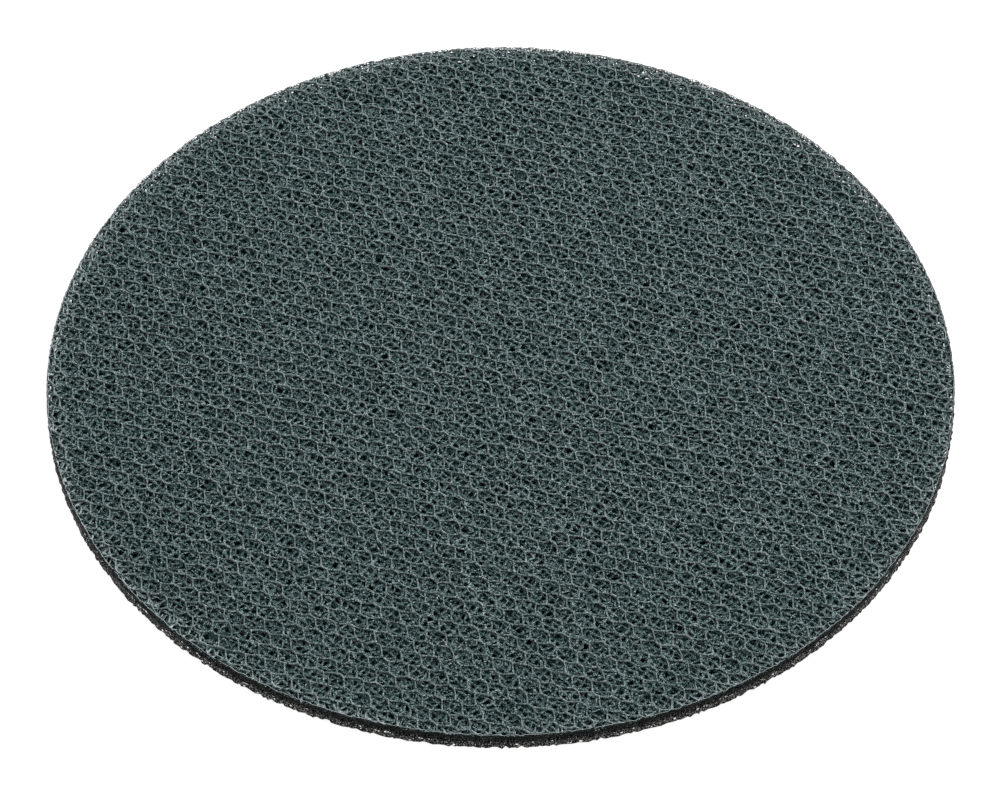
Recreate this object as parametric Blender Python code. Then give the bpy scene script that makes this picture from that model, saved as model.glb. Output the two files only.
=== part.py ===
"""Superfinishing sanding disc: one die-cut round of thick open knit, lying on its loop back.

The knit is made in one: a honeycomb face of drawn-in meshes, the springy pile under it and
the flat loop ground at the back. It is one solid here. The face is a honeycomb of ridges with
a pit in each mesh, and the die cuts straight down through ridges and pits alike, so the upper
edge of the rim rises and falls from mesh to mesh.

Metres, +Z up. The back lies on Z = 0 and the disc's axis is the Z axis.
"""

import math

import bmesh
import bpy
from mathutils import Matrix, Vector

# Driving dimensions
DISC_DIAMETER = 0.150
DISC_THICKNESS = 0.0033
MESH_WIDTH = 0.0034
MESH_WALL = 0.0018
COURSE_PITCH = 0.00345
COURSE_ANGLE = math.radians(45.9)
PIT_DEPTH = 0.0011
RIM_SEGMENTS = 144
CUT_CLEARANCE = 0.001

COLLECTION_NAME = "superfinishing_sanding_disc"
CUTTERS_NAME = "cutters"


def clear_scene():
    """Removes whatever the open file's scene holds."""
    for leftover in list(bpy.data.objects):
        bpy.data.objects.remove(leftover, do_unlink=True)


def new_collection(name):
    """A new collection under the scene's own."""
    collection = bpy.data.collections.new(name)
    bpy.context.scene.collection.children.link(collection)
    return collection


def finish(name, colour, roughness):
    """A plain non-metal finish."""
    material = bpy.data.materials.new(name)
    material.use_nodes = True
    shader = material.node_tree.nodes["Principled BSDF"]
    shader.inputs["Base Color"].default_value = (*colour, 1.0)
    shader.inputs["Roughness"].default_value = roughness
    shader.inputs["Metallic"].default_value = 0.0
    material.diffuse_color = (*colour, 1.0)
    return material


def abrasive_coat():
    """Grey-green grain and resin on the face side of the yarn."""
    return finish("abrasive_coat", (0.115, 0.160, 0.162), 0.62)


def bare_yarn():
    """Black yarn that the coat doesn't reach, at the rim and the back."""
    return finish("bare_yarn", (0.013, 0.012, 0.012), 0.80)


def mesh_centres(reach):
    """Centres of all meshes within reach of the axis. Each course is set off by half a mesh."""
    turn = Matrix.Rotation(COURSE_ANGLE, 2)
    courses = math.ceil(reach / COURSE_PITCH)
    columns = math.ceil(reach / MESH_WIDTH) + 1
    centres = []
    for course in range(-courses, courses + 1):
        offset = 0.5 * (course % 2)
        for column in range(-columns, columns + 1):
            flat = Vector(((column + offset) * MESH_WIDTH, course * COURSE_PITCH))
            if flat.length < reach:
                centres.append(turn @ flat)
    return centres


def mesh_corners():
    """The six corners of one mesh about its centre: two straight walls and two pointed ends."""
    side = MESH_WIDTH / 2
    shoulder = MESH_WALL / 2
    tip = COURSE_PITCH - shoulder
    turn = Matrix.Rotation(COURSE_ANGLE, 2)
    outline = (
        (side, shoulder),
        (0.0, tip),
        (-side, shoulder),
        (-side, -shoulder),
        (0.0, -tip),
        (side, -shoulder),
    )
    return [turn @ Vector(corner) for corner in outline]


def knit_slab(collection, finishes):
    """The knit before it is cut: a closed slab, pitted on top, that reaches past the disc."""
    bm = bmesh.new()
    corners = mesh_corners()
    reach = DISC_DIAMETER / 2 + MESH_WIDTH + COURSE_PITCH
    for centre in mesh_centres(reach):
        ring = [bm.verts.new((*(centre + corner), DISC_THICKNESS)) for corner in corners]
        bm.faces.new(ring)
    same_corner = MESH_WALL / 40
    bmesh.ops.remove_doubles(bm, verts=bm.verts[:], dist=same_corner)
    bmesh.ops.poke(bm, faces=bm.faces[:], offset=-PIT_DEPTH, use_relative_offset=False)

    border = [edge for edge in bm.edges if edge.is_boundary]
    skirt = bmesh.ops.extrude_edge_only(bm, edges=border)["geom"]
    hem = [item for item in skirt if isinstance(item, bmesh.types.BMVert)]
    for vert in hem:
        vert.co.z = -CUT_CLEARANCE
    bmesh.ops.holes_fill(bm, edges=[edge for edge in bm.edges if edge.is_boundary])
    bmesh.ops.recalc_face_normals(bm, faces=bm.faces[:])

    mesh = bpy.data.meshes.new("sanding_disc")
    bm.to_mesh(mesh)
    bm.free()
    slab = bpy.data.objects.new("sanding_disc", mesh)
    for material in finishes:
        mesh.materials.append(material)
    collection.objects.link(slab)
    return slab


def cutting_die(collection, finishes):
    """The round inside the die: all of it that lies in the slab becomes the disc."""
    bm = bmesh.new()
    height = DISC_THICKNESS + CUT_CLEARANCE
    bmesh.ops.create_cone(
        bm,
        cap_ends=True,
        segments=RIM_SEGMENTS,
        radius1=DISC_DIAMETER / 2,
        radius2=DISC_DIAMETER / 2,
        depth=height,
        matrix=Matrix.Translation((0.0, 0.0, height / 2)),
    )
    mesh = bpy.data.meshes.new("cutting_die")
    for face in bm.faces:
        face.material_index = 1
    bm.to_mesh(mesh)
    bm.free()
    die = bpy.data.objects.new("cutting_die", mesh)
    for material in finishes:
        mesh.materials.append(material)
    die.hide_render = True
    die.display_type = "WIRE"
    collection.objects.link(die)
    return die


def die_cut(slab, die):
    """Keeps what the die encloses, with the cut rim and the back in the die's own finish."""
    cut = slab.modifiers.new("die_cut", "BOOLEAN")
    cut.operation = "INTERSECT"
    cut.solver = "EXACT"
    cut.object = die


def main():
    clear_scene()
    disc_parts = new_collection(COLLECTION_NAME)
    cutters = new_collection(CUTTERS_NAME)
    finishes = (abrasive_coat(), bare_yarn())
    slab = knit_slab(disc_parts, finishes)
    die = cutting_die(cutters, finishes)
    die_cut(slab, die)


main()
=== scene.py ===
import math

import bmesh
import bpy
import numpy as np
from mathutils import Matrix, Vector


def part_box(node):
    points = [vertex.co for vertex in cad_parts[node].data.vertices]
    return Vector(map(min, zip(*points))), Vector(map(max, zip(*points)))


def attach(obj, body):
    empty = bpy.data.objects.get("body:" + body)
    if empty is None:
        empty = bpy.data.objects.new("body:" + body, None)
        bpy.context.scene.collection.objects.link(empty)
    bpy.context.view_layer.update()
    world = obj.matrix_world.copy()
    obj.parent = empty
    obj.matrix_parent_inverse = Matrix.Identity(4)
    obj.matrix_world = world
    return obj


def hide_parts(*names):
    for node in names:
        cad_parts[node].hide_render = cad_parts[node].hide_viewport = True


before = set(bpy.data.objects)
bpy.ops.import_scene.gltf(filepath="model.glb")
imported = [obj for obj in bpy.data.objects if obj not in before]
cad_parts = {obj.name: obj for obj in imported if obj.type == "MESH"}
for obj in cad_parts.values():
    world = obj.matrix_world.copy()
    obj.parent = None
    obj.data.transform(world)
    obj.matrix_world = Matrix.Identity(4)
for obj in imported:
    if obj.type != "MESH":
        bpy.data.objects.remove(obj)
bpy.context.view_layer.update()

# The camera. The disc lies face up and is seen from 49 degrees above its face, from 12 radii
# away through a long lens, so its far edge is nearly as wide as its near one.
MM = 0.001
disc_low, disc_high = (Vector(corner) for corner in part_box("sanding_disc"))
DISC_RADIUS = (disc_high.x - disc_low.x) / 2
DISC_THICKNESS = disc_high.z - disc_low.z
VIEW_ANGLE = math.radians(49.3)
VIEW_DISTANCE = 12 * DISC_RADIUS
LENS_MM = 195.8
AIM_POINT = Vector((-0.10 * MM, -3.94 * MM, DISC_THICKNESS / 2))

camera = bpy.data.objects.new("camera", bpy.data.cameras.new("camera"))
camera.data.lens = LENS_MM
camera.data.clip_start = 10 * MM
camera.location = (
    0,
    -VIEW_DISTANCE * math.cos(VIEW_ANGLE),
    VIEW_DISTANCE * math.sin(VIEW_ANGLE) + DISC_THICKNESS / 2,
)
camera.rotation_euler = (AIM_POINT - camera.location).to_track_quat("-Z", "Y").to_euler()
bpy.context.scene.collection.objects.link(camera)
bpy.context.scene.camera = camera


# The table and the room. A plain white table top runs on as the background, and keeps the
# disc's soft shadow. One large soft lamp stands behind to the right, in an evenly lit room.
TABLE_SIZE = 3.0
TABLE_GREY = 0.80
TABLE_GLOW = 0.88
TABLE_SHADE = 0.34
ROOM_LEVEL = 0.56
LAMP_PLACE = Vector((0.53, 0.62, 0.86))
LAMP_SIZE = 0.45
LAMP_WATTS = 13.0


def seen_directly(nodes, links):
    """1 where the eye, a reflection or clear glass looks at a surface, 0 where only light falls."""
    rays = nodes.new("ShaderNodeLightPath")
    total = rays.outputs["Is Camera Ray"]
    for name in ("Is Glossy Ray", "Is Transmission Ray"):
        more = nodes.new("ShaderNodeMath")
        more.operation = "MAXIMUM"
        links.new(total, more.inputs[0])
        links.new(rays.outputs[name], more.inputs[1])
        total = more.outputs[0]
    return total


def table_white():
    """White laminate that is bright to the eye but still dims in the disc's shadow."""
    material = bpy.data.materials.new("table_white")
    material.use_nodes = True
    nodes, links = material.node_tree.nodes, material.node_tree.links
    nodes.clear()
    plain = nodes.new("ShaderNodeBsdfDiffuse")
    plain.inputs["Color"].default_value = (TABLE_GREY, TABLE_GREY, TABLE_GREY, 1)
    shade = nodes.new("ShaderNodeBsdfDiffuse")
    shade.inputs["Color"].default_value = (TABLE_SHADE, TABLE_SHADE, TABLE_SHADE, 1)
    glow = nodes.new("ShaderNodeEmission")
    glow.inputs["Color"].default_value = (TABLE_GLOW, TABLE_GLOW, TABLE_GLOW, 1)
    bright = nodes.new("ShaderNodeAddShader")
    links.new(shade.outputs[0], bright.inputs[0])
    links.new(glow.outputs[0], bright.inputs[1])
    either = nodes.new("ShaderNodeMixShader")
    links.new(seen_directly(nodes, links), either.inputs["Fac"])
    links.new(plain.outputs[0], either.inputs[1])
    links.new(bright.outputs[0], either.inputs[2])
    output = nodes.new("ShaderNodeOutputMaterial")
    links.new(either.outputs[0], output.inputs["Surface"])
    return material


table_mesh = bpy.data.meshes.new("table_top")
half_table = TABLE_SIZE / 2
table_mesh.from_pydata(
    [(x, y, 0) for x, y in ((-half_table, -half_table), (half_table, -half_table),
                            (half_table, half_table), (-half_table, half_table))],
    [],
    [(0, 1, 2, 3)],
)
table_mesh.materials.append(table_white())
table_top = bpy.data.objects.new("table_top", table_mesh)
bpy.context.scene.collection.objects.link(table_top)

room = bpy.data.worlds.new("room")
room.use_nodes = True
bpy.context.scene.world = room
room_nodes, room_links = room.node_tree.nodes, room.node_tree.links
room_nodes.clear()
room_light = room_nodes.new("ShaderNodeBackground")
room_light.inputs["Color"].default_value = (1, 1, 1, 1)
room_light.inputs["Strength"].default_value = ROOM_LEVEL
room_white = room_nodes.new("ShaderNodeBackground")
room_white.inputs["Color"].default_value = (1, 1, 1, 1)
room_white.inputs["Strength"].default_value = 1
room_either = room_nodes.new("ShaderNodeMixShader")
room_links.new(seen_directly(room_nodes, room_links), room_either.inputs["Fac"])
room_links.new(room_light.outputs[0], room_either.inputs[1])
room_links.new(room_white.outputs[0], room_either.inputs[2])
room_output = room_nodes.new("ShaderNodeOutputWorld")
room_links.new(room_either.outputs[0], room_output.inputs["Surface"])

lamp = bpy.data.objects.new("soft_lamp", bpy.data.lights.new("soft_lamp", "AREA"))
lamp.data.shape = "DISK"
lamp.data.size = LAMP_SIZE
lamp.data.energy = LAMP_WATTS
lamp.location = LAMP_PLACE
lamp.rotation_euler = (-LAMP_PLACE).to_track_quat("-Z", "Y").to_euler()
bpy.context.scene.collection.objects.link(lamp)
bpy.context.scene.view_settings.view_transform = "Standard"


# The face net. Two yarns are knitted into six-sided meshes, lie side by side along the short
# walls and part along the long ones, and are stiffened by the grey-green abrasive coat.
COURSE_STEP = np.array((3.126, -0.897)) * MM
WALE_STEP = np.array((-1.156, 2.928)) * MM
KNOT_A = np.array((-1.66, 1.67)) * MM
KNOT_B = np.array((0.42, 1.58)) * MM
LONG_WALL_BOW = np.array((0.0, -0.12)) * MM
NET_SHIFT = np.array((0.77, 0.97)) * MM
NET_MARGIN = 2.5 * MM
YARN_HALF_WIDTH = 0.125 * MM
PAIR_HALF_WIDTH = 0.25 * MM
KNOT_A_WIDER = 1.3
KNOT_B_WIDER = 1.8
WIDTH_UNEVEN = 0.20
YARN_HALF_HEIGHT = 0.16 * MM
PAIR_CREST = 0.5
KNOT_A_CREST = 0.6
YARN_LIP = (0.85, 0.5)
PAIR_LIP = (0.5, 0.95)
LOWER_LIP = -0.45
NET_SWAY = 0.08 * MM
NET_DIP = 0.22 * MM
DIE_RAGGED = 0.12 * MM
NET_CREST = (0.336, 0.402, 0.410)
NET_GREY = (0.150, 0.204, 0.210)
# Painted light: the light grey of the painted glints and of the painted light near the cut.
COAT_GLINT = (0.520, 0.600, 0.600)
# Painted shade: the colour of the coat's small pits and of the gaps between its fibres.
PIT_SHADE = (0.001, 0.023, 0.024)
# Painted shade: the colour the coat is darkened to lower down, and the levels at which that shade
# starts and is full.
DEEP_SHADE_COLOUR = (0.000, 0.021, 0.022)
SHADE_FREE_ABOVE = 3.0 * MM
FULL_SHADE_BELOW = 1.95 * MM
COAT_GLOSS = 0.12
COAT_GRIT = 0.10 * MM
COAT_RELIEF = 0.07 * MM
COAT_LEAST = 0.4
BUMP_STRENGTH = 0.8
TANGLE_CELL = 0.46 * MM
TANGLE_STRAY = 0.30 * MM
TANGLE_WARP = 0.20 * MM
FIBRE_EDGE = (0.15, 0.03)
# How much of the net's coat is painted with dark pits as shade, and the size and softness of all pits.
NET_PITTED = 0.385
PIT_SIZE = 0.42 * MM
PIT_SOFTNESS = 0.09
BARE_BLACK = (0.004, 0.008, 0.008)
BARE_BROWN = (0.022, 0.021, 0.019)
# Pale specks on the bare cut, more of them lower down.
SPECK_COLOUR = (0.85, 0.83, 0.77)
SPECK_HEIGHTS = (2.3 * MM, 0.2 * MM)
CUT_BLACK = (0.63 * MM, 0.294 * MM)
# Painted light near the open cut: how far in it reaches, how much it lifts the level for the depth
# shade, how strong it is, where it is full, and which faces get it.
CUT_LIT = (3.4 * MM, 0.42 * MM)
CUT_LIFT = 0.9 * MM
CUT_PALENESS = 0.9
CUT_FULLY_LIT = (0.4, 0.9)
FACES_IN = (-0.03, -0.38)
FACES_OUT = (-0.10, 0.30)
# Each pattern has a size, a detail, and the two levels at which it comes to 0 and to 1.
PATCHES = (0.9 * MM, 2, 0.30, 0.70)
MOTTLE = (0.18 * MM, 2, 0.36, 0.56)
# Painted shade: where the smallest pits are painted dark.
SHADED_PITS = (0.22 * MM, 3, 0.40, 0.52)
# Painted glints: bright specks that stand in for grit catching the light.
GLINTS = (0.20 * MM, 1, 0.61, 0.68)
BROWN_TINT = (0.20 * MM, 3, 0.45, 0.70)
PALE_SPECKS = (0.25 * MM, 1, 0.59, 0.64)
COAT_ROUGHNESS = (0.15 * MM, 2, 1.1, -0.2)


def honeycomb(reach):
    """Lays meshes of six knots and six wall middles. Gives the flat points and each mesh's 12."""
    count = 2 + math.ceil(1.3 * reach / np.linalg.norm(COURSE_STEP))
    side = 2 * count + 1
    i, j = np.meshgrid(np.arange(-count, count + 1), np.arange(-count, count + 1), indexing="ij")
    centre = NET_SHIFT + i[..., None] * COURSE_STEP + j[..., None] * WALE_STEP
    a, b = centre + KNOT_A, centre + KNOT_B
    long_wall = (a + b) / 2 + LONG_WALL_BOW
    pair = (b + a + COURSE_STEP) / 2
    short_wall = (a + b - COURSE_STEP - WALE_STEP) / 2
    points = np.stack([a, b, long_wall, pair, short_wall])
    number = np.arange(points.size // 2).reshape(5, side, side)
    inner = slice(1, -1)

    def at(kind, di=0, dj=0):
        return number[kind, 1 + di : side - 1 + di, 1 + dj : side - 1 + dj]

    rings = np.stack(
        [at(0), at(2), at(1), at(3), at(0, 1), at(4, 1), at(1, 0, -1), at(2, 0, -1),
         at(0, 0, -1), at(3, -1, -1), at(1, -1, -1), at(4)],
        axis=-1,
    )
    near = np.linalg.norm(centre[inner, inner], axis=-1) < reach
    return points.reshape(-1, 2), rings[near]


def strips_between(rings_1, rings_2):
    """Four-sided faces between rows of rings that match point by point."""
    return np.stack(
        [rings_1, rings_2, np.roll(rings_2, -1, axis=1), np.roll(rings_1, -1, axis=1)], axis=-1
    ).reshape(-1, 4)


def webbed(points, rings, outward, crest, foot, lips):
    """Closes a web of yarn round its openings.

    The yarn runs from point to point of each ring, and rises by crest and falls by foot along
    outward. A lip runs round each opening: it is a share of the way in and a height.
    """
    total = len(points)
    inward = points[rings].mean(axis=1, keepdims=True) - points[rings]
    inward /= np.linalg.norm(inward, axis=2, keepdims=True)
    layers = [points + outward * crest[:, None], points - outward * foot[:, None]]
    numbers = [rings]
    for way_in, height in lips:
        lip = points[rings] + inward * way_in[..., None] + outward[rings] * height[..., None]
        numbers.append(sum(map(len, layers)) + np.arange(rings.size).reshape(rings.shape))
        layers.append(lip.reshape(-1, 3))
    numbers.append(rings + total)
    faces = [strips_between(upper, lower) for upper, lower in zip(numbers, numbers[1:])]
    walls = np.stack([rings, np.roll(rings, -1, axis=1)], axis=-1).reshape(-1, 2)
    outer = walls[~np.isin(walls @ (total, 1), walls @ (1, total))]
    faces.append(np.column_stack([outer, outer[:, ::-1] + total]))
    return np.concatenate(layers), np.concatenate(faces)


def die_cut(points, faces, rng):
    """Cuts a layer at the die's line: what lies beyond is drawn back to it, or dropped."""
    reach = np.hypot(points[:, 0], points[:, 1])
    line = DISC_RADIUS - rng.uniform(0, DIE_RAGGED, len(points))
    beyond = reach > line
    cut = points.copy()
    cut[:, :2] *= np.where(beyond, line / np.maximum(reach, MM), 1)[:, None]
    return cut, faces[~beyond[faces].all(axis=1)]


def new_piece(name, points, faces, material, slot):
    """Makes one closed piece that lies with the disc."""
    mesh = bpy.data.meshes.new(name)
    mesh.from_pydata(points.tolist(), [], faces.tolist())
    bm = bmesh.new()
    bm.from_mesh(mesh)
    bmesh.ops.delete(bm, geom=[v for v in bm.verts if not v.link_faces], context="VERTS")
    bmesh.ops.holes_fill(bm, edges=[e for e in bm.edges if e.is_boundary])
    if bm.calc_volume(signed=True) < 0:
        bmesh.ops.reverse_faces(bm, faces=bm.faces)
    for face in bm.faces:
        face.smooth = True
    bm.to_mesh(mesh)
    bm.free()
    mesh.materials.append(material)
    piece = bpy.data.objects.new(name, mesh)
    bpy.context.scene.collection.objects.link(piece)
    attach(piece, "root")
    return piece


class YarnFinish:
    """The nodes that every finish of the yarn is put together from."""

    def __init__(self, name):
        self.material = bpy.data.materials.new(name)
        self.material.use_nodes = True
        self.nodes, self.links = self.material.node_tree.nodes, self.material.node_tree.links
        self.shader = self.nodes["Principled BSDF"]
        coordinates = self.nodes.new("ShaderNodeTexCoord")
        self.place, self.facing = coordinates.outputs["Object"], coordinates.outputs["Normal"]

    def node(self, kind, inputs, **settings):
        """A new node with these settings. An input is a number, a colour or another node's output."""
        node = self.nodes.new(kind)
        for name, value in settings.items():
            setattr(node, name, value)
        for name, value in inputs.items():
            if isinstance(value, bpy.types.NodeSocket):
                self.links.new(value, node.inputs[name])
            else:
                node.inputs[name].default_value = value
        return node

    def noise(self, size, detail, output="Fac"):
        inputs = {"Vector": self.place, "Scale": 1 / size, "Detail": detail}
        return self.node("ShaderNodeTexNoise", inputs).outputs[output]

    def pattern(self, size, detail, low, high):
        return self.spread(self.noise(size, detail), low, high)

    def spread(self, value, low, high):
        inputs = {"Value": value, "From Min": low, "From Max": high}
        return self.node("ShaderNodeMapRange", inputs).outputs["Result"]

    def sum(self, *values, operation="ADD"):
        return self.node("ShaderNodeMath", dict(enumerate(values)), operation=operation).outputs[0]

    def vector(self, operation, *values):
        node = self.node("ShaderNodeVectorMath", dict(enumerate(values)), operation=operation)
        return node.outputs["Value" if operation in ("LENGTH", "DOT_PRODUCT") else "Vector"]

    def blend(self, share, colour_1, colour_2):
        colours = [(*c, 1) if isinstance(c, tuple) else c for c in (colour_1, colour_2)]
        inputs = {0: share, 6: colours[0], 7: colours[1]}
        return self.node("ShaderNodeMix", inputs, data_type="RGBA").outputs[2]

    def done(self, colour, roughness, gloss, relief, depth):
        self.links.new(colour, self.shader.inputs["Base Color"])
        self.links.new(roughness, self.shader.inputs["Roughness"])
        self.shader.inputs["Specular IOR Level"].default_value = gloss
        inputs = {"Distance": depth, "Strength": BUMP_STRENGTH, "Height": relief}
        bump = self.node("ShaderNodeBump", inputs)
        self.links.new(bump.outputs["Normal"], self.shader.inputs["Normal"])
        return self.material


def bare_colour(finish):
    """Black yarn with a little brown in it."""
    return finish.blend(finish.pattern(*BROWN_TINT), BARE_BLACK, BARE_BROWN)


def coated_yarn(name, crest, grey, pitted):
    """Matte grit coat over a fine tangle of fibre, with painted shade that deepens lower down.

    The yarn between the big openings has small pits of its own, painted dark as shade, and the gaps
    between its fibres are painted darker as shade. The die's cut has no coat.
    Light comes in through the open cut, so near it the yarn that faces inwards is painted lighter as
    painted light, with less of the painted shade in its pits and lower down.
    """
    finish = YarnFinish(name)
    flat = finish.vector("MULTIPLY", finish.place, (1, 1, 0))
    reach = finish.vector("LENGTH", flat)
    outward = finish.vector("DOT_PRODUCT", finish.vector("NORMALIZE", flat), finish.facing)
    level = finish.node("ShaderNodeSeparateXYZ", {0: finish.place}).outputs["Z"]
    # Painted light: near the open cut, yarn that faces inwards is painted lighter.
    pale = finish.sum(
        finish.spread(reach, *(DISC_RADIUS - inset for inset in CUT_LIT)),
        finish.spread(outward, *FACES_IN),
        operation="MULTIPLY",
    )
    lit = finish.spread(pale, *CUT_FULLY_LIT)

    stray = finish.vector("SCALE", finish.noise(TANGLE_STRAY, 2, output="Color"))
    stray.node.inputs["Scale"].default_value = TANGLE_WARP
    tangle = finish.node(
        "ShaderNodeTexVoronoi",
        {"Vector": finish.vector("ADD", finish.place, stray), "Scale": 1 / TANGLE_CELL},
        feature="DISTANCE_TO_EDGE",
    ).outputs["Distance"]
    fibre = finish.spread(tangle, *FIBRE_EDGE)
    # Painted shade: the gaps between the fibres are mottled down towards the shade colour.
    between = finish.blend(finish.pattern(*MOTTLE), PIT_SHADE, grey)
    # Random patches of the coat, with the cut's painted light added.
    coat_patches_and_cut_light = finish.sum(finish.sum(finish.pattern(*PATCHES), COAT_LEAST), pale)
    coat = finish.blend(finish.sum(fibre, coat_patches_and_cut_light, operation="MULTIPLY"), between, crest)
    # Painted light: near the cut the coat is blended towards a light grey.
    coat = finish.blend(finish.sum(pale, CUT_PALENESS, operation="MULTIPLY"), coat, COAT_GLINT)
    # Painted shade: small pits are painted dark, except where the cut's painted light fills them.
    full = finish.pattern(PIT_SIZE, 2, pitted - PIT_SOFTNESS, pitted)
    whole = finish.sum(finish.pattern(*SHADED_PITS), full, operation="MINIMUM")
    coat = finish.blend(finish.sum(whole, lit, operation="MAXIMUM"), PIT_SHADE, coat)
    # Painted glints: bright specks of light grey in the coat.
    coat = finish.blend(finish.pattern(*GLINTS), coat, COAT_GLINT)
    # Painted shade: lower down the coat is painted darker, less so near the cut's painted light.
    raised = finish.sum(level, finish.sum(lit, CUT_LIFT, operation="MULTIPLY"))
    coat = finish.blend(finish.spread(raised, FULL_SHADE_BELOW, SHADE_FREE_ABOVE), DEEP_SHADE_COLOUR, coat)

    cut = finish.sum(
        finish.spread(outward, *FACES_OUT),
        finish.spread(reach, *(DISC_RADIUS - inset for inset in CUT_BLACK)),
        operation="MULTIPLY",
    )
    # Pale specks on the bare cut, more of them lower down.
    specks = finish.sum(
        finish.pattern(*PALE_SPECKS), finish.spread(level, *SPECK_HEIGHTS), operation="MULTIPLY"
    )
    colour = finish.blend(cut, coat, finish.blend(specks, bare_colour(finish), SPECK_COLOUR))
    roughness = finish.pattern(*COAT_ROUGHNESS)
    relief = finish.sum(fibre, finish.noise(COAT_GRIT, 2))
    return finish.done(colour, roughness, COAT_GLOSS, relief, COAT_RELIEF)


net_random = np.random.default_rng(11)
net_flat, net_rings = honeycomb(DISC_RADIUS + NET_MARGIN)
net_flat = net_flat + net_random.normal(0, NET_SWAY, net_flat.shape)
net_level = DISC_THICKNESS - YARN_HALF_HEIGHT - net_random.uniform(0, NET_DIP, len(net_flat))
net_line = np.column_stack([net_flat, net_level])
upward = np.tile((0.0, 0.0, 1.0), (len(net_line), 1))
kinds = np.array(["knot_a", "yarn", "knot_b", "pair", "knot_a", "yarn", "knot_b", "yarn",
                  "knot_a", "pair", "knot_b", "yarn"])
half_width = np.select(
    [kinds == "knot_a", kinds == "knot_b", kinds == "pair"],
    [KNOT_A_WIDER * YARN_HALF_WIDTH, KNOT_B_WIDER * YARN_HALF_WIDTH, PAIR_HALF_WIDTH],
    YARN_HALF_WIDTH,
) * net_random.uniform(1 - WIDTH_UNEVEN, 1 + WIDTH_UNEVEN, net_rings.shape)
in_pair = np.zeros(len(net_line), dtype=bool)
in_pair[net_rings[:, kinds == "pair"]] = True
at_knot_a = np.zeros(len(net_line), dtype=bool)
at_knot_a[net_rings[:, kinds == "knot_a"]] = True
crest = np.select([in_pair, at_knot_a], [PAIR_CREST, KNOT_A_CREST], 1.0) * YARN_HALF_HEIGHT
foot = np.full(len(net_line), YARN_HALF_HEIGHT)
lip_way_in, lip_height = (np.where(kinds == "pair", *sizes) for sizes in zip(PAIR_LIP, YARN_LIP))
upper_lip = (half_width * lip_way_in, YARN_HALF_HEIGHT * lip_height * np.ones(net_rings.shape))
lower_lip = (half_width, np.full(net_rings.shape, LOWER_LIP * YARN_HALF_HEIGHT))
net_points, net_faces = webbed(net_line, net_rings, upward, crest, foot, (upper_lip, lower_lip))
net_points, net_faces = die_cut(net_points, net_faces, net_random)
net_coat = coated_yarn("net_coat", NET_CREST, NET_GREY, NET_PITTED)
face_net = new_piece("face_net", net_points, net_faces, net_coat, "abrasive_knit")
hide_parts("sanding_disc")


# The pile. Springy yarn crosses at random between the face and the back, bonded where it meets,
# so that it stands as open layers. It sinks inside each mesh of the net and rises to its knots.
# Each layer has a name, a pitch, level and rise in mm, its narrowest and widest opening, a seed.
PILE_LAYERS = (
    ("pile_1", 1.25, 2.80, 0.16, 0.38, 0.82, 21),
    ("pile_2", 1.25, 2.54, 0.18, 0.38, 0.84, 22),
    ("pile_3", 1.45, 2.15, 0.24, 0.30, 0.80, 23),
)
PILE_HALF_HEIGHT = 0.10 * MM
PILE_SINK = 0.12 * MM
PILE_THROW = 0.38
PILE_PITTED = 0.505
PILE_CREST = (0.270, 0.358, 0.369)
PILE_GREY = (0.082, 0.138, 0.146)
WIDEST_HOLE = 0.92
THINNEST_LIP = 0.10
HOLE_UNEVEN = (0.85, 1.10)
EDGE_OPENING = 0.12
EDGE_WIDTH = 2.5 * MM


def inside_mesh(flat):
    """1 in the middle of each mesh of the net, and -0.5 at its knots."""
    middle = NET_SHIFT + (KNOT_A + KNOT_B - WALE_STEP) / 2
    share = np.linalg.solve(np.column_stack([COURSE_STEP, WALE_STEP]), (flat - middle).T)
    turns = np.array((share[0], share[1], share[0] - share[1])) * 2 * math.pi
    return np.cos(turns).mean(axis=0)


def grid_rings(rows, columns, closed):
    """Four-sided rings over rows of points, which join up end to end where closed is true."""
    number = np.arange(rows * columns).reshape(rows, columns)
    right = np.roll(number, -1, axis=1)
    rings = np.stack([number[:-1], right[:-1], right[1:], number[1:]], axis=-1)
    return (rings if closed else rings[:, :-1]).reshape(-1, 4)


def hole_lips(points, rings, share):
    """How far in each opening's lip is, where the opening is that share of its ring."""
    span = np.linalg.norm(points[rings] - points[rings].mean(axis=1, keepdims=True), axis=2)
    return np.maximum(span - share * span.mean(axis=1, keepdims=True), THINNEST_LIP * span)


def pile_web(pitch, level, rise, hole_low, hole_high, rng):
    """One open layer: a square net whose knots are thrown about, with holes of many sizes."""
    count = 2 * math.ceil(DISC_RADIUS / pitch) + 4
    i, j = np.meshgrid(np.arange(count), np.arange(count), indexing="ij")
    flat = np.stack([j + i % 2 / 2 - count / 2, i - count / 2], axis=-1).reshape(-1, 2) * pitch
    turn = rng.uniform(0, math.pi)
    flat = flat @ ((math.cos(turn), math.sin(turn)), (-math.sin(turn), math.cos(turn)))
    flat += rng.uniform(-PILE_THROW, PILE_THROW, flat.shape) * pitch
    rings = grid_rings(count, count, closed=False)
    rings = rings[np.hypot(*flat[rings].mean(axis=1).T) < DISC_RADIUS + pitch]
    height = level + rng.uniform(-rise, rise, len(flat)) - PILE_SINK * inside_mesh(flat)
    points = np.column_stack([flat, height])
    upward = np.tile((0.0, 0.0, 1.0), (len(points), 1))
    edge = 1 - (DISC_RADIUS - np.hypot(*flat[rings].mean(axis=1).T)) / EDGE_WIDTH
    share = rng.uniform(hole_low, hole_high, len(rings)) + EDGE_OPENING * np.clip(edge, 0, 1)
    share = np.minimum(share, WIDEST_HOLE)[:, None] * rng.uniform(*HOLE_UNEVEN, rings.shape)
    lip = (hole_lips(points, rings, share), np.zeros(rings.shape))
    half = np.full(len(points), PILE_HALF_HEIGHT)
    return webbed(points, rings, upward, half, half, (lip,))


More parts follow.
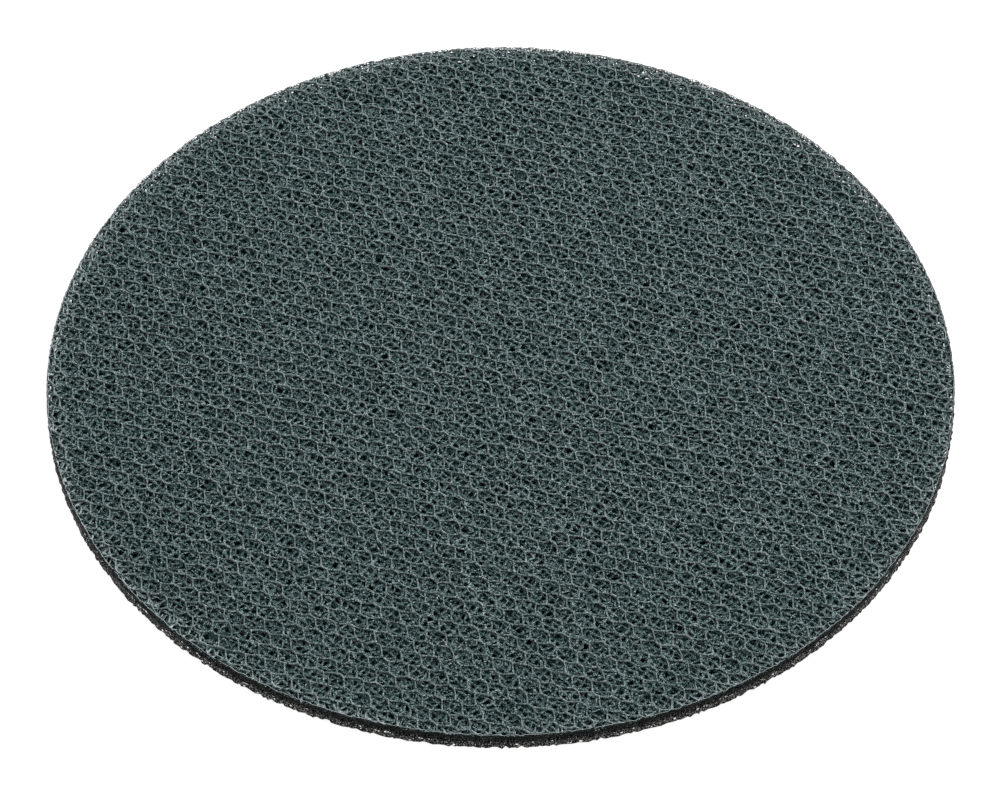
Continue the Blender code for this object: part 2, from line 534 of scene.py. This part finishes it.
pile_coat = coated_yarn("pile_coat", PILE_CREST, PILE_GREY, PILE_PITTED)
for name, pitch, level, rise, hole_low, hole_high, seed in PILE_LAYERS:
    layer_random = np.random.default_rng(seed)
    points, faces = pile_web(pitch * MM, level * MM, rise * MM, hole_low, hole_high, layer_random)
    points, faces = die_cut(points, faces, layer_random)
    new_piece(name, points, faces, pile_coat, "abrasive_knit")


# The rim. The die leaves bare black yarn all round at the cut. It is open and springy for most of
# its height, and felted towards the back, where pale specks dot it and its foot is frayed.
# The coat shows on its inner side.
RIM_PITCH = 0.50 * MM
RIM_ROWS = 8
RIM_TOP = 3.20 * MM
RIM_FELTED = 1.2 * MM
RIM_FOOT = 0.03 * MM
RIM_INSET = 0.17 * MM
RIM_HALF_DEPTH = 0.07 * MM
RIM_STRAY = 0.17 * MM
RIM_FRAY = 0.20 * MM
RIM_SHIFT = 0.33
RIM_WAVER = (-0.12 * MM, 0.09 * MM)
OPEN_ABOVE = 0.9
OPEN_BELOW = 0.06
OPEN_HOLE = (0.44, 0.78)
FELTED_HOLE = (0.06, 0.16)

rim_random = np.random.default_rng(31)
rim_columns = round(2 * math.pi * DISC_RADIUS / RIM_PITCH)
row, column = np.meshgrid(np.arange(RIM_ROWS), np.arange(rim_columns), indexing="ij")
shift = rim_random.uniform(-RIM_SHIFT, RIM_SHIFT, row.shape)
angle = (column + row % 2 / 2 + shift) / rim_columns * 2 * math.pi
rim_height = RIM_FOOT + row * (RIM_TOP - RIM_FOOT) / (RIM_ROWS - 1)
rim_height += rim_random.uniform(-RIM_STRAY, RIM_STRAY, row.shape)
rim_height[0] = RIM_FOOT + np.abs(rim_random.normal(0, RIM_FRAY, rim_columns))
rim_height = np.minimum(rim_height, DISC_THICKNESS).ravel()
rim_outward = np.stack([np.cos(angle), np.sin(angle), np.zeros(angle.shape)], axis=-1).reshape(-1, 3)
rim_reach = DISC_RADIUS - RIM_INSET + rim_random.uniform(*RIM_WAVER, len(rim_outward))
rim_reach[:rim_columns] += rim_random.uniform(0, RIM_FRAY, rim_columns)
rim_line = rim_outward * rim_reach[:, None]
rim_line[:, 2] = rim_height
rim_rings = grid_rings(RIM_ROWS, rim_columns, closed=True)
ring_height = rim_height[rim_rings].mean(axis=1, keepdims=True)
open_chance = np.where(ring_height > RIM_FELTED, OPEN_ABOVE, OPEN_BELOW)
open_here = rim_random.random(ring_height.shape) < open_chance
share = np.where(
    open_here,
    rim_random.uniform(*OPEN_HOLE, ring_height.shape),
    rim_random.uniform(*FELTED_HOLE, ring_height.shape),
)
rim_half = np.full(len(rim_line), RIM_HALF_DEPTH)
rim_lip = (hole_lips(rim_line, rim_rings, share), np.zeros(rim_rings.shape))
rim_points, rim_faces = webbed(rim_line, rim_rings, rim_outward, rim_half, rim_half, (rim_lip,))
new_piece("rim", rim_points, rim_faces, pile_coat, "bare_knit")


# The back's ground. It is knitted in one with the pile from bare black yarn, in ribs of slanting
# stitches, and lies flat. It stops just short of the rim's frayed yarn.
GROUND_TOP = 0.44 * MM
GROUND_BOTTOM = 0.32 * MM
GROUND_RIB = 0.10 * MM
GROUND_INSET = 0.50 * MM
GROUND_RAGGED = 0.50 * MM
NEEDLE_PITCH = 1.41 * MM
STITCH_PITCH = 1.45 * MM
STITCH_SLANT = 0.35
NEEDLE_SWAY = 0.08
RIB_NOTCH = 0.6
FURROW_STEP = 0.25
COURSE_ANGLE = math.radians(45.9)
# Painted shade down in the furrows and painted light on what stands out.
FURROW_SHADE = (0.002, 0.003, 0.003)
LOOP_LIT_GREY = (0.050, 0.050, 0.052)
YARN_TWIST = (0.25 * MM, 2, 0.30, 0.60)
BACK_ROUGHNESS = (0.15 * MM, 2, 1.2, -0.3)
BACK_GLOSS = 0.15
BACK_FIBRE = 0.08 * MM
BACK_RELIEF = 0.05 * MM


def knitted_ground(rng):
    """Ribs and furrows lie half a needle apart, and their stitches slant by turns."""
    columns = 2 * math.ceil(DISC_RADIUS / NEEDLE_PITCH) + 3
    rows = 2 * math.ceil(DISC_RADIUS / STITCH_PITCH) + 3
    i, j = np.meshgrid(np.arange(-rows, rows + 1), np.arange(-columns, columns + 1), indexing="ij")
    on_rib = j % 2 == 0
    along = (i + STITCH_SLANT * np.where(on_rib, 1, -1)) * STITCH_PITCH / 2
    across = (j + rng.normal(0, NEEDLE_SWAY, j.shape)) * NEEDLE_PITCH / 2
    drop = GROUND_RIB * np.where(on_rib, 1 - RIB_NOTCH * (i % 2), FURROW_STEP * (i % 2))
    flat = np.stack([across, along], axis=-1).reshape(-1, 2)
    cosine, sine = math.cos(COURSE_ANGLE), math.sin(COURSE_ANGLE)
    flat = flat @ ((cosine, sine), (-sine, cosine))
    rings = grid_rings(2 * rows + 1, 2 * columns + 1, closed=False)
    line = DISC_RADIUS - GROUND_INSET - rng.uniform(0, GROUND_RAGGED, len(flat))
    reach = np.hypot(*flat.T)
    beyond = reach > line
    flat = flat * np.where(beyond, line / np.maximum(reach, MM), 1)[:, None]
    rings = rings[~beyond[rings].all(axis=1)][:, ::-1]
    lower = np.column_stack([flat, GROUND_BOTTOM - drop.ravel()])
    upper = np.column_stack([flat, np.full(len(flat), GROUND_TOP)])
    walls = np.stack([rings, np.roll(rings, -1, axis=1)], axis=-1).reshape(-1, 2)
    total = len(flat)
    outer = walls[~np.isin(walls @ (total, 1), walls @ (1, total))]
    hem = np.column_stack([outer[:, ::-1], outer + total])
    return np.concatenate([lower, upper]), np.concatenate([rings, hem])


def back_yarn():
    """Bare yarn, painted blackest down in the furrows as shade and greyest where it stands out as
    painted light.
    """
    finish = YarnFinish("back_yarn")
    level = finish.node("ShaderNodeSeparateXYZ", {0: finish.place}).outputs["Z"]
    # Painted shade and light: the yarn is painted darker the further in it lies and lighter the
    # further it stands out.
    raised = finish.spread(level, GROUND_BOTTOM, 0)
    grey = finish.sum(raised, finish.pattern(*YARN_TWIST), operation="MULTIPLY")
    colour = finish.blend(grey, FURROW_SHADE, LOOP_LIT_GREY)
    roughness = finish.pattern(*BACK_ROUGHNESS)
    return finish.done(colour, roughness, BACK_GLOSS, finish.noise(BACK_FIBRE, 3), BACK_RELIEF)


back_random = np.random.default_rng(41)
back_knit = back_yarn()
back_ground = new_piece("back_ground", *knitted_ground(back_random), back_knit, "bare_knit")


# The back's loops. Short loops of the same yarn stand out of the ground all over, each with both
# ends in its stitches, for the hooks of the sander's pad to catch.
LOOP_PITCH = 1.8 * MM
LOOP_JITTER = 0.3
LOOP_INSET = 1.4 * MM
LOOP_HEADING = math.radians(-16)
LOOP_TURN = 0.6
LOOP_SPAN = (0.7 * MM, 1.2 * MM)
LOOP_DROP = (0.20 * MM, 0.29 * MM)
LOOP_LEAN = 0.30 * MM
LOOP_YARN = 0.065 * MM
LOOP_POINTS = 5
LOOP_SIDES = 3

count = math.ceil(DISC_RADIUS / LOOP_PITCH) + 1
i, j = np.meshgrid(np.arange(-count, count + 1), np.arange(-count, count + 1), indexing="ij")
loop_place = np.stack([j + i % 2 / 2, i], axis=-1).reshape(-1, 2) * LOOP_PITCH
loop_place = loop_place + back_random.uniform(-LOOP_JITTER, LOOP_JITTER, loop_place.shape) * LOOP_PITCH
loop_place = loop_place[np.hypot(*loop_place.T) < DISC_RADIUS - LOOP_INSET]
loops = len(loop_place)
heading = back_random.normal(LOOP_HEADING, LOOP_TURN, loops)[:, None]
span = back_random.uniform(*LOOP_SPAN, loops)[:, None]
drop = back_random.uniform(*LOOP_DROP, loops)[:, None]
lean = back_random.uniform(-LOOP_LEAN, LOOP_LEAN, loops)[:, None]
turn = np.linspace(0, math.pi, LOOP_POINTS)
along = -np.cos(turn) * span / 2
aside = np.sin(turn) * lean
loop_line = np.stack(
    [
        loop_place[:, :1] + along * np.cos(heading) - aside * np.sin(heading),
        loop_place[:, 1:] + along * np.sin(heading) + aside * np.cos(heading),
        GROUND_BOTTOM + LOOP_YARN - np.sin(turn) * drop,
    ],
    axis=-1,
)
tangent = np.gradient(loop_line, axis=1)
tangent /= np.linalg.norm(tangent, axis=2, keepdims=True)
beside = np.concatenate([-np.sin(heading), np.cos(heading), np.zeros((loops, 1))], axis=1)[:, None]
beside = np.broadcast_to(beside, tangent.shape)
below = np.cross(tangent, beside)
sides = np.arange(LOOP_SIDES) / LOOP_SIDES * 2 * math.pi
loop_points = (
    loop_line[:, :, None]
    + LOOP_YARN * np.cos(sides)[:, None] * beside[:, :, None]
    + LOOP_YARN * np.sin(sides)[:, None] * below[:, :, None]
).reshape(-1, 3)
loop_rings = np.arange(len(loop_points)).reshape(loops, LOOP_POINTS, LOOP_SIDES)
loop_faces = strips_between(
    loop_rings[:, :-1].reshape(-1, LOOP_SIDES), loop_rings[:, 1:].reshape(-1, LOOP_SIDES)
)
new_piece("back_loops", loop_points, loop_faces, back_knit, "bare_knit")
